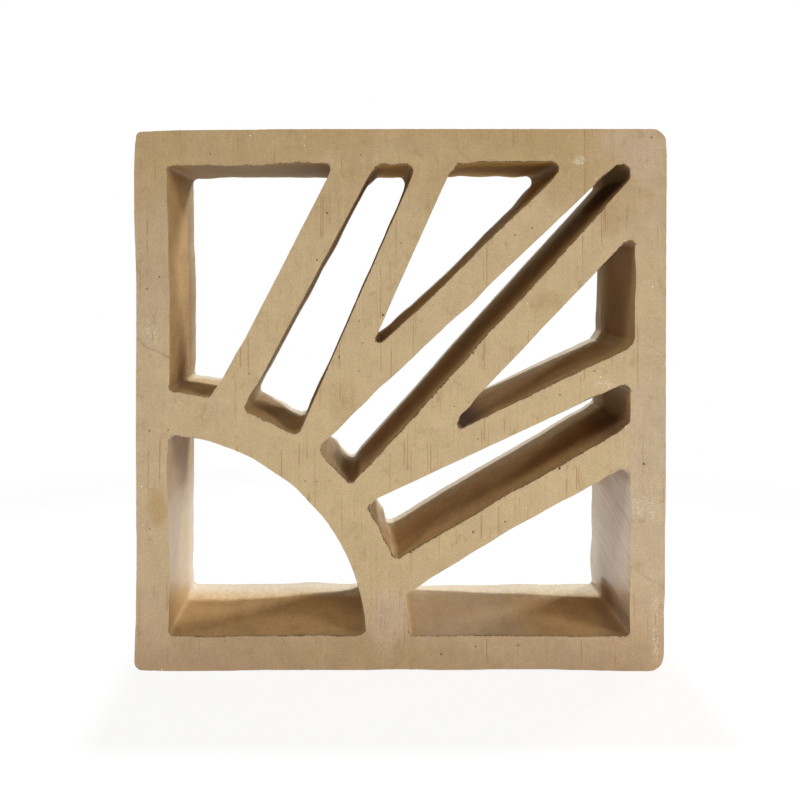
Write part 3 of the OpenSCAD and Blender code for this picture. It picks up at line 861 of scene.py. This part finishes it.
# How far a noise pattern moves the edge of each tone, in the units of what it moves
wavers = {
    "rim": 0.15,
    "faceTop": 14.0,
    "faceFoot": 8.0,
    "stain": 0.3,
    "rear": 2.0,
    "nook": 0.2,
    "torn": -0.22,  # less torn where the pattern is high
}
# How much of a tone comes through where it is full
shares = {
    "pores": 0.55,
    "flecks": 0.65,
    "paintedRearLight": 0.78,
    "roof": 0.85,
    "wallPaintedLight": 0.1,
    "wallSalt": 0.6,
    "wallDust": 0.4,
}
# The same for tones that follow a noise pattern or a value kept in the mesh: two levels of it,
# and the share at each
shows = {
    "specks": (0.5, 0.64, 0.08, 1.0),
    "faceBrown": (0.54, 0.72, 0.0, 0.55),
    "lines": (0.64, 0.69, 0.0, 1.0),
    "linesBroken": (0.48, 0.56, 0.0, 0.6),
    "wallDark": (0.35, 0.72, 0.0, 0.62),
    "frost": (0.4, 0.6, 0.2, 0.65),
    "paintedSheen": (0.0, 1.0, 0.2, 0.62),
    "grimeAndShade": (0.1, 0.9, 0.0, 0.85),
    "crumbs": (0.34, 0.5, 0.0, 1.0),
    "torn": (0.22, 0.5, 0.0, 1.0),
    "marksBroken": (0.38, 0.6, 0.3, 0.9),
    "pit": (0.6, 1.0, 0.0, 0.9),
}
crumbsOnFace = 0.14  # crumbs are this much lower in their pattern on a cut face, so darker
roughnesses = {
    "face": (0.80, 0.92),
    "wall": (0.30, 0.46),
    "torn": 0.95,
    "grimeAndShade": 0.85,
    # grimy here means the dirt and painted shade of a nook
    "grimeAndShadeFull": 0.5,  # how grimy a place is where it gets that roughness
    "roof": 0.85,
    "outside": 0.88,
    "dull": 0.85,
}
# Heights for the bump, as parts of its distance
relief = {
    "distance": 0.07,
    "strength": 0.6,
    "grain": 1.9,
    "brushed": 0.5,
    "darkSpots": 2.4,
    "lines": 1.6,
    "wallStreak": 0.08,
    "wallGrain": 0.2,
    "crumbs": 5.0,
}
# Soft stains on the face: pixel of the middle, half width and half height in millimetres
stains = [
    {"at": (157, 512), "wide": 4.0, "high": 8.5, "strength": 0.75, "tone": "stain"},
    {"at": (612, 215), "wide": 5.0, "high": 9.0, "strength": 0.45, "tone": "stain"},
    {"at": (520, 140), "wide": 16.0, "high": 5.0, "strength": 0.35, "tone": "stain"},
    {"at": (344, 399), "wide": 5.0, "high": 9.0, "strength": 0.3, "tone": "stain"},
    {"at": (290, 330), "wide": 5.0, "high": 8.0, "strength": 0.3, "tone": "stain"},
    {"at": (545, 302), "wide": 7.0, "high": 4.5, "strength": 0.4, "tone": "stain"},
    {"at": (586, 165), "wide": 1.4, "high": 16.0, "strength": 0.4, "tone": "stain"},
    {"at": (580, 652), "wide": 1.2, "high": 7.0, "strength": 0.4, "tone": "stain"},
    {"at": (637, 566), "wide": 2.2, "high": 2.6, "strength": 0.4, "tone": "stain"},
    {"at": (370, 652), "wide": 46.0, "high": 8.0, "strength": 0.3, "tone": "stain"},
    {"at": (150, 245), "wide": 14.0, "high": 34.0, "strength": 0.16, "tone": "stain"},
    {"at": (390, 616), "wide": 10.0, "high": 12.0, "strength": 0.45, "tone": "pink"},
    {"at": (650, 480), "wide": 12.0, "high": 56.0, "strength": 0.45, "tone": "ash"},
    {"at": (642, 150), "wide": 16.0, "high": 14.0, "strength": 0.6, "tone": "pink"},
    {"at": (578, 161), "wide": 3.6, "high": 2.4, "strength": 0.8, "tone": "salt"},
    {"at": (304.5, 146), "wide": 0.5, "high": 6.0, "strength": 0.7, "tone": "salt"},
    {"at": (655, 626), "wide": 1.6, "high": 13.0, "strength": 0.5, "tone": "salt"},
    {"at": (642, 508), "wide": 6.0, "high": 4.0, "strength": 0.4, "tone": "salt"},
    {"at": (604, 385), "wide": 4.0, "high": 2.0, "strength": 0.45, "tone": "salt"},
    {"at": (150, 330), "wide": 4.0, "high": 7.0, "strength": 0.4, "tone": "salt"},
]


def spread(tree, place, scale, detail, roughness, tilt=0):
    # noise over the piece, scaled along each axis, tilted in degrees about the width
    if tilt:
        place = add(tree, "ShaderNodeMapping", {
            "Vector": place, "Rotation": (math.radians(tilt), 0, 0)}).outputs[0]
    sized = add(tree, "ShaderNodeMapping", {"Vector": place, "Scale": scale})
    made = add(tree, "ShaderNodeTexNoise", {
        "Vector": sized.outputs[0], "Scale": 1.0, "Detail": detail, "Roughness": roughness})
    return made.outputs["Fac"]


def ramp(tree, value, low, high, first=0.0, last=1.0):
    made = add(tree, "ShaderNodeMapRange", {0: value, 1: low, 2: high, 3: first, 4: last},
               interpolation_type="SMOOTHSTEP")
    return made.outputs[0]


def swing(tree, pattern, least, most):
    # the middle range of a noise pattern, turned into values from least to most
    return ramp(tree, pattern, 0.3, 0.7, least, most)


def blend(tree, share, first, second):
    made = add(tree, "ShaderNodeMix", {0: share, 6: first, 7: second}, data_type="RGBA")
    return made.outputs[2]


def sums(tree, operation, first, *others):
    for other in others:
        first = add(tree, "ShaderNodeMath", {0: first, 1: other}, operation=operation).outputs[0]
    return first


def length(tree, vector):
    return add(tree, "ShaderNodeVectorMath", {0: vector}, operation="LENGTH").outputs["Value"]


def brighten(tree, colour, amount):
    made = add(tree, "ShaderNodeVectorMath", {0: colour, "Scale": amount}, operation="SCALE")
    return made.outputs[0]


def dots(tree, place, spacing, radius, share, seed):
    # scattered round spots, each with a size of its own
    moved = add(tree, "ShaderNodeMapping", {
        "Vector": place, "Location": [seed * shift for shift in spotShape["shift"]],
        "Scale": (1 / spacing,) * 3})
    cells = add(tree, "ShaderNodeTexVoronoi", {"Vector": moved.outputs[0], "Scale": 1.0}, feature="F1")
    parts = add(tree, "ShaderNodeSeparateColor", {0: cells.outputs["Color"]})
    chosen = sums(tree, "LESS_THAN", parts.outputs[0], share)
    smallest, largest, soft = (
        radius * spotShape[name] / spacing for name in ("smallest", "largest", "soft"))
    size = ramp(tree, parts.outputs[1], 0.0, 1.0, smallest, largest)
    inside = sums(tree, "SUBTRACT", size, cells.outputs["Distance"])
    return sums(tree, "MULTIPLY", ramp(tree, inside, 0.0, soft), chosen)


def emptyTree(owner):
    owner.use_nodes = True
    owner.node_tree.nodes.clear()
    return owner.node_tree


def clayFinish():
    material = bpy.data.materials.new("firedClay")
    tree = emptyTree(material)
    metres = add(tree, "ShaderNodeTexCoord").outputs["Object"]
    place = add(tree, "ShaderNodeMapping", {"Vector": metres, "Scale": (1 / mm,) * 3}).outputs[0]
    parts = add(tree, "ShaderNodeSeparateXYZ", {0: place}).outputs
    normal = add(tree, "ShaderNodeNewGeometry").outputs["Normal"]
    facing = add(tree, "ShaderNodeSeparateXYZ", {0: normal}).outputs
    onCut, onTorn, onMark, inNook = (
        add(tree, "ShaderNodeAttribute", attribute_name=name, attribute_type="GEOMETRY").outputs["Fac"]
        for name in ("wireCut", "torn", "mark", "grimeAndShade"))
    noises = {name: spread(tree, place, **pattern) for name, pattern in patterns.items()}
    dotted = {name: dots(tree, place, **spot) for name, spot in spots.items()}

    def zone(value, name):
        return ramp(tree, value, *zones[name])

    def shown(value, name):
        return ramp(tree, value, *shows[name])

    def wavering(value, name, pattern):
        return sums(tree, "ADD", value, swing(tree, pattern, -wavers[name], wavers[name]))

    def fromCentre(x, z, wide, high):
        # how far a place is from the middle of an oval on the face: 1 on its edge
        oval = add(tree, "ShaderNodeMapping", {
            "Vector": place, "Location": (-x / wide, 0, -z / high), "Scale": (1 / wide, 0, 1 / high)})
        return length(tree, oval.outputs[0])

    def times(*values):
        return sums(tree, "MULTIPLY", *values)

    def most(*values):
        return sums(tree, "MAXIMUM", *values)

    def mixed(share, first, second):
        return add(tree, "ShaderNodeMix", {0: share, 2: first, 3: second}, data_type="FLOAT").outputs[0]

    # wire-cut faces: paler and olive in the middle, pinker toward the rims, browner at the top
    cloudy = noises["cloudy"]
    away = fromCentre(**faceMiddle)
    rim = zone(wavering(away, "rim", cloudy), "rim")
    face = blend(tree, rim, finish["faceCentre"], finish["faceEdge"])
    for name in ("faceTop", "faceFoot"):
        face = blend(tree, zone(wavering(parts["Z"], name, cloudy), name), face, finish[name])
    specks = shown(noises["specks"], "specks")
    for stain in stains:
        away = fromCentre(*onFace(*stain["at"]), stain["wide"], stain["high"])
        reach = wavering(away, "stain", cloudy)
        share = ramp(tree, reach, *zones["stain"], 0.0, stain["strength"])
        if stain["tone"] == "salt":
            share = times(share, specks)
        face = blend(tree, share, face, finish[stain["tone"]])
    face = blend(tree, shown(noises["brown"], "faceBrown"), face, finish["faceBrown"])
    shades = [ramp(tree, noises[name], *shading) for name, shading in faceShading.items()]
    face = brighten(tree, face, times(*shades))
    lines = times(shown(noises["lines"], "lines"), shown(noises["broken"], "linesBroken"))
    face = blend(tree, lines, face, finish["drag"])
    darkSpots = most(times(dotted["pores"], shares["pores"]), dotted["redSpecks"])
    face = blend(tree, times(dotted["flecks"], shares["flecks"]), face, finish["drag"])
    face = blend(tree, darkSpots, face, finish["pit"])
    face = blend(tree, dotted["salt"], face, finish["salt"])

    # walls that the die smoothed: satin, with streaks along the depth of the block
    wallPatch, wallGrain = noises["wallPatch"], noises["wallGrain"]
    wall = blend(tree, shown(noises["wallCloud"], "wallDark"), finish["wall"], finish["wallDark"])
    rear = wavering(parts["Y"], "rear", wallPatch)
    fromMid = sums(tree, "ABSOLUTE", parts["X"], 0.0)
    outside = most(zone(fromMid, "outerSide"), zone(parts["Z"], "outerTop"), zone(parts["Z"], "outerFoot"))
    # painted light on the rear of the openings, where the lamp behind and above the block falls: less where a
    # wall faces down, and not outside
    openings = ramp(tree, outside, 0.0, 1.0, 1.0, 0.0)
    paintedRearLightShare = times(zone(rear, "paintedRearLightDepth"), shares["paintedRearLight"], zone(facing["Z"], "facingPaintedRearLight"), openings)
    wall = blend(tree, paintedRearLightShare, wall, finish["paintedRearLight"])
    # painted light: walls that face down, right of the upper left opening, are a warmer brown that stands in
    # for light bounced up from the clay below them
    bounceLitRoof = times(zone(facing["Z"], "facingDown"), zone(parts["X"], "roofRight"))
    wall = blend(tree, times(bounceLitRoof, shares["roof"]), wall, finish["roof"])
    # painted light: paler middle of the left wall of the upper left opening, where light falls in from the
    # rear right
    onLeft = times(zone(parts["X"], "leftRim"), zone(facing["X"], "facingRight"))
    midway = times(zone(parts["Z"], "paintedLightAbove"), zone(parts["Z"], "paintedLightBelow"))
    wall = blend(tree, times(onLeft, midway, shares["wallPaintedLight"]), wall, finish["wallPaintedLight"])
    # greyish frost in patches on the left and front of the lower right opening's floor
    up = zone(facing["Z"], "facingUp")
    frosted = times(zone(parts["X"], "frostLeft"), zone(parts["X"], "frostRight"), up,
                    zone(parts["Z"], "frostLow"), zone(rear, "frostFront"),
                    shown(wallPatch, "frost"))
    wall = blend(tree, frosted, wall, finish["frost"])
    # fine slanting strokes on the right wall of the lower right opening, with a painted sheen: their pale
    # tone is a painted reflection of the lit floor behind
    strokes = shown(swing(tree, noises["strokes"], 0.0, 1.0), "paintedSheen")
    onSide = times(zone(parts["X"], "rightRim"), zone(parts["Z"], "paintedSheenLow"),
                   zone(facing["X"], "facingLeft"))
    wall = blend(tree, times(onSide, strokes), wall, finish["paintedSheen"])
    shades = [ramp(tree, noises[name], *shading) for name, shading in wallShading.items()]
    wall = brighten(tree, wall, times(*shades))
    for name in ("wallSalt", "wallDust"):
        wall = blend(tree, times(dotted[name], shares[name]), wall, finish["salt"])
    # dirt and painted shade in the nooks, the corners and the ends of the slots
    wall = blend(tree, shown(wavering(inNook, "nook", wallGrain), "grimeAndShade"), wall, finish["grimeAndShade"])

    # torn arrises, and the marks, cracks and pits in the faces
    colour = blend(tree, onCut, wall, face)
    # torn arrises go from dark to light brown with the crumbs: their own tone, and painted shade between the
    # crumbs where darkest
    crumbs = noises["crumbs"]
    crumbly = shown(sums(tree, "SUBTRACT", crumbs, times(onCut, crumbsOnFace)), "crumbs")
    tornTone = blend(tree, crumbly, finish["tornDark"], finish["tornLight"])
    torn = shown(wavering(onTorn, "torn", crumbs), "torn")
    colour = blend(tree, torn, colour, tornTone)
    scored = ramp(tree, onMark, 0.0, scoring["markTone"])
    scored = times(scored, shown(noises["broken"], "marksBroken"))
    colour = blend(tree, scored, colour, finish["drag"])
    # painted shade: each pit is darkest in its middle, where its hollow is in shade
    colour = blend(tree, shown(onMark, "pit"), colour, finish["pit"])

    # the floors and the upper left wall are duller at the front
    dull = most(times(onLeft, zone(parts["Z"], "dullAbove")), up)
    dull = times(dull, zone(rear, "dullFront"))
    faceRough = swing(tree, noises["patches"], *roughnesses["face"])
    wallRough = swing(tree, wallGrain, *roughnesses["wall"])
    rough = mixed(onCut, wallRough, faceRough)
    rough = most(rough, ramp(tree, inNook, 0.0, roughnesses["grimeAndShadeFull"], 0.0, roughnesses["grimeAndShade"]),
                 times(torn, roughnesses["torn"]), times(bounceLitRoof, roughnesses["roof"]),
                 times(outside, roughnesses["outside"]), times(dull, roughnesses["dull"]))

    faceHeight, wallHeight = (
        sums(tree, "ADD", *(times(noises[name], relief[name]) for name in names))
        for names in (("grain", "brushed"), ("wallStreak", "wallGrain")))
    faceHeight = sums(tree, "SUBTRACT", faceHeight, times(darkSpots, relief["darkSpots"]),
                      times(lines, relief["lines"]))
    height = sums(tree, "ADD", mixed(onCut, wallHeight, faceHeight), times(crumbs, torn, relief["crumbs"]))
    bump = add(tree, "ShaderNodeBump", {
        "Strength": relief["strength"], "Distance": relief["distance"] * mm, "Height": height})

    shader = add(tree, "ShaderNodeBsdfPrincipled", {
        "Base Color": colour, "Roughness": rough, "IOR": 1.5, "Normal": bump.outputs[0]})
    add(tree, "ShaderNodeOutputMaterial", {"Surface": shader.outputs[0]})
    return material


material = clayFinish()
clay.data.materials.clear()
clay.data.materials.append(material)
clay.data.polygons.foreach_set("material_index", [0] * len(clay.data.polygons))
for name in ("coarseNet", "fineNet"):
    bpy.data.materials.remove(bpy.data.materials[name])
onlyObject(clay)
bpy.ops.object.shade_smooth_by_angle(angle=math.radians(slab["smoothAngle"]))
clay.data.calc_loop_triangles()
print("piece finished,", len(clay.data.loop_triangles), "triangles")
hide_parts("block")
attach(clay, "root")

# Camera at the photographer's eye, looking straight at the face
viewer = bpy.data.cameras.new("viewer")
viewer.sensor_width = eye["sensor"]
seenWidth = photo["mmPerPixel"] * photo["width"]
viewer.lens = eye["sensor"] * eye["distance"] / seenWidth
eyePixelX = photo["middleX"] + eye["right"] / photo["mmPerPixel"]
eyePixelY = photo["bottomY"] - eye["height"] / photo["mmPerPixel"]
viewer.shift_x = (photo["width"] / 2 - eyePixelX) / photo["width"]
viewer.shift_y = (eyePixelY - photo["width"] / 2) / photo["width"]
viewer.clip_start = 0.01
viewer.clip_end = 50
camera = bpy.data.objects.new("viewer", viewer)
camera.location = (eye["right"] * mm, frontY - eye["distance"] * mm, eye["height"] * mm)
camera.rotation_euler = (math.radians(90), 0, 0)
bpy.context.collection.objects.link(camera)
scene.camera = camera
print("camera", round(viewer.lens, 2), round(viewer.shift_x, 4), round(viewer.shift_y, 4))

# Plain studio
studio = {
    "floorSize": 6.0,
    "floorNear": (0.88, 0.82, 0.72, 1),
    "floorFar": (0.06, 0.06, 0.06, 1),
    "floorFadeStart": 0.22,
    "floorFadeEnd": 0.42,
    "floorWhite": 0.9,
    "ambient": 0.01,
    "glowEdge": 0.05,
}
# Soft patches of light in the dome: the direction they lie in, and two heights in degrees
glows = {
    "rearLow": {"toward": (0, 1, 0), "low": 20, "high": 35, "strength": 1.1, "colour": (1.0, 0.90, 0.64, 1)},
    "rearHigh": {"toward": (0, 1, 0), "low": 38, "high": 52, "strength": 0.4, "colour": (1.0, 0.95, 0.85, 1)},
    "right": {"toward": (1, 0, 0), "low": 3, "high": 20, "strength": 1.15, "colour": (1.0, 0.84, 0.62, 1)},
}
# Square lamps that point at the block's middle: watts, metres and degrees. Azimuth 0 stands
# behind the camera, 90 to the right and 180 behind the block.
lamps = {
    "overhead": {
        "power": 117.0, "size": 0.2, "distance": 3.0, "azimuth": 182, "elevation": 72,
        "colour": (0.74, 0.86, 1.0)},
    "rearRight": {
        "power": 14.5, "size": 0.3, "distance": 1.5, "azimuth": 135, "elevation": 27,
        "colour": (1.0, 0.99, 0.93)},
    "frontRight": {
        "power": 12.0, "size": 0.5, "distance": 1.5, "azimuth": 45, "elevation": 15,
        "colour": (0.96, 0.98, 1.0)},
    "frontLeft": {
        "power": 6.4, "size": 0.5, "distance": 1.5, "azimuth": -60, "elevation": 25,
        "colour": (1.0, 0.98, 0.93)},
    "frontHigh": {
        "power": 3.6, "size": 0.35, "distance": 1.5, "azimuth": -5, "elevation": 45,
        "colour": (1.0, 1.0, 1.0)},
}
for name, lamp in lamps.items():
    light = bpy.data.lights.new(name, "AREA")
    light.energy = lamp["power"]
    light.size = lamp["size"]
    light.color = lamp["colour"]
    holder = bpy.data.objects.new(name, light)
    turn, rise = math.radians(lamp["azimuth"]), math.radians(lamp["elevation"])
    away = Vector((math.sin(turn) * math.cos(rise), -math.cos(turn) * math.cos(rise), math.sin(rise)))
    holder.location = Vector((0, 0, blockHigh.z / 2)) + away * lamp["distance"]
    holder.rotation_euler = away.to_track_quat("Z", "Y").to_euler()
    bpy.context.collection.objects.link(holder)


def glow(tree, look, toward, low, high, strength, colour):
    # soft patch of light in the dome around one compass direction, between two heights
    height = add(tree, "ShaderNodeSeparateXYZ", {0: look}).outputs["Z"]
    level = add(tree, "ShaderNodeVectorMath", {0: look, 1: (1, 1, 0)}, operation="MULTIPLY")
    level = add(tree, "ShaderNodeVectorMath", {0: level.outputs[0]}, operation="NORMALIZE")
    near = add(tree, "ShaderNodeVectorMath", {0: level.outputs[0], 1: toward}, operation="DOT_PRODUCT")
    near = sums(tree, "MAXIMUM", near.outputs["Value"], 0.0)
    low, high = math.sin(math.radians(low)), math.sin(math.radians(high))
    above = ramp(tree, height, low - studio["glowEdge"], low + studio["glowEdge"])
    below = ramp(tree, height, high + studio["glowEdge"], high - studio["glowEdge"])
    shine = sums(tree, "MULTIPLY", above, below, near, near, strength)
    return add(tree, "ShaderNodeBackground", {"Color": colour, "Strength": shine}).outputs[0]


# The dome lights the block, and the camera sees plain white in its place
world = bpy.data.worlds.new("studio")
scene.world = world
tree = emptyTree(world)
look = add(tree, "ShaderNodeTexCoord").outputs["Generated"]
dome = add(tree, "ShaderNodeBackground", {"Color": (1, 1, 1, 1), "Strength": studio["ambient"]}).outputs[0]
for patch in glows.values():
    dome = add(tree, "ShaderNodeAddShader", {0: dome, 1: glow(tree, look, **patch)}).outputs[0]
white = add(tree, "ShaderNodeBackground", {"Color": (1, 1, 1, 1), "Strength": 1.0}).outputs[0]
seen = add(tree, "ShaderNodeLightPath").outputs["Is Camera Ray"]
both = add(tree, "ShaderNodeMixShader", {0: seen, 1: dome, 2: white}).outputs[0]
add(tree, "ShaderNodeOutputWorld", {"Surface": both})

# Paper floor, pale round the block and white to the camera further away
bpy.ops.mesh.primitive_plane_add(size=studio["floorSize"], location=(0, 0, 0))
floor = bpy.context.object
floor.name = "studioFloor"
paper = bpy.data.materials.new("paper")
tree = emptyTree(paper)
place = add(tree, "ShaderNodeTexCoord").outputs["Object"]
fade = ramp(tree, length(tree, place), studio["floorFadeStart"], studio["floorFadeEnd"])
tone = blend(tree, fade, studio["floorNear"], studio["floorFar"])
matt = add(tree, "ShaderNodeBsdfDiffuse", {"Color": tone}).outputs[0]
lit = add(tree, "ShaderNodeEmission", {"Color": (1, 1, 1, 1), "Strength": 1.0}).outputs[0]
whiten = add(tree, "ShaderNodeMapRange", {0: fade, 3: studio["floorWhite"], 4: 1.0}).outputs[0]
seen = add(tree, "ShaderNodeLightPath").outputs["Is Camera Ray"]
share = sums(tree, "MULTIPLY", seen, whiten)
both = add(tree, "ShaderNodeMixShader", {0: share, 1: matt, 2: lit}).outputs[0]
add(tree, "ShaderNodeOutputMaterial", {"Surface": both})
floor.data.materials.append(paper)
